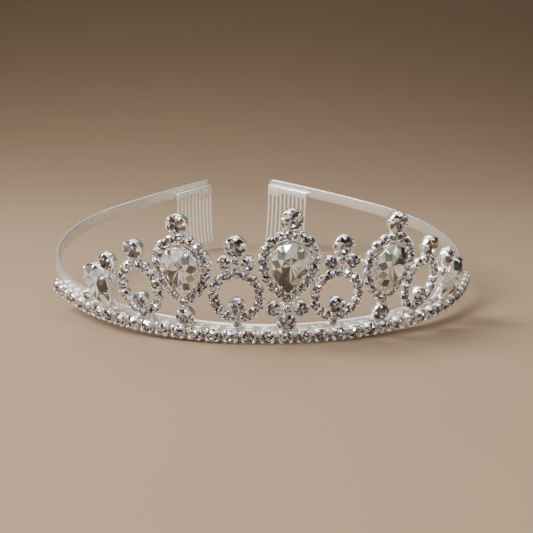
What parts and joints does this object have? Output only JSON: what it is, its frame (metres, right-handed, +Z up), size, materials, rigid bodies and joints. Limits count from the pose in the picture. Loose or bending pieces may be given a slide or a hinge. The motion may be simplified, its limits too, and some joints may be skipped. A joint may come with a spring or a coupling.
{
  "type": "bridal tiara",
  "caption": "Silver bridal tiara: an open hoop with a side comb inside each end and a front row of crystals under pear-shaped and ring-shaped claw-set ornaments.",
  "frame": {"origin": "middle of the bottom of the object's box, on the table under the middle of the hoop", "axes": "+Z up from the table, +Y from the front ornaments towards the open back of the hoop, +X to the right as seen from the front"},
  "size_m": [0.1202, 0.1654, 0.0322],
  "materials": {
    "satin_silver": "silver plate, satin from handling, on the strip and the combs",
    "bright_silver": "bright silver plate on cups, claws and rings",
    "pear_crystal": "clear faceted crystal, pear cut",
    "round_crystal": "clear faceted crystal, round cut"
  },
  "bodies": {
    "root": {"base_row_channel": "bright_silver", "base_row_stones": "round_crystal", "centre_base_stone": "round_crystal", "centre_frame": "bright_silver", "centre_halo_stones": "round_crystal", "centre_link_stone": "round_crystal", "centre_pear": "pear_crystal", "centre_side_stone_left": "round_crystal", "centre_side_stone_right": "round_crystal", "centre_top_stone": "round_crystal", "end_frame_left": "bright_silver", "end_frame_right": "bright_silver", "end_link_stone_left": "round_crystal", "end_link_stone_right": "round_crystal", "end_outboard_stone_left": "round_crystal", "end_outboard_stone_right": "round_crystal", "end_pear_left": "pear_crystal", "end_pear_right": "pear_crystal", "end_top_stone_left": "round_crystal", "end_top_stone_right": "round_crystal", "hoop_band": "satin_silver", "inner_ring_crest_stone_left": "round_crystal", "inner_ring_crest_stone_right": "round_crystal", "inner_ring_far_stone_left": "round_crystal", "inner_ring_far_stone_right": "round_crystal", "inner_ring_foot_stone_left": "round_crystal", "inner_ring_foot_stone_right": "round_crystal", "inner_ring_frame_left": "bright_silver", "inner_ring_frame_right": "bright_silver", "inner_ring_inside_stone_left": "round_crystal", "inner_ring_inside_stone_right": "round_crystal", "inner_ring_near_stone_left": "round_crystal", "inner_ring_near_stone_right": "round_crystal", "inner_ring_stones_left": "round_crystal", "inner_ring_stones_right": "round_crystal", "inner_ring_top_stone_left": "round_crystal", "inner_ring_top_stone_right": "round_crystal", "outer_ring_frame_left": "bright_silver", "outer_ring_frame_right": "bright_silver", "outer_ring_inside_stone_left": "round_crystal", "outer_ring_inside_stone_right": "round_crystal", "outer_ring_stones_left": "round_crystal", "outer_ring_stones_right": "round_crystal", "outer_ring_top_stone_left": "round_crystal", "outer_ring_top_stone_right": "round_crystal", "side_base_stone_left": "round_crystal", "side_base_stone_right": "round_crystal", "side_comb_left": "satin_silver", "side_comb_right": "satin_silver", "side_frame_left": "bright_silver", "side_frame_right": "bright_silver", "side_halo_stones_left": "round_crystal", "side_halo_stones_right": "round_crystal", "side_pear_left": "pear_crystal", "side_pear_right": "pear_crystal", "side_top_stone_left": "round_crystal", "side_top_stone_right": "round_crystal"}
  },
  "joints": []
}
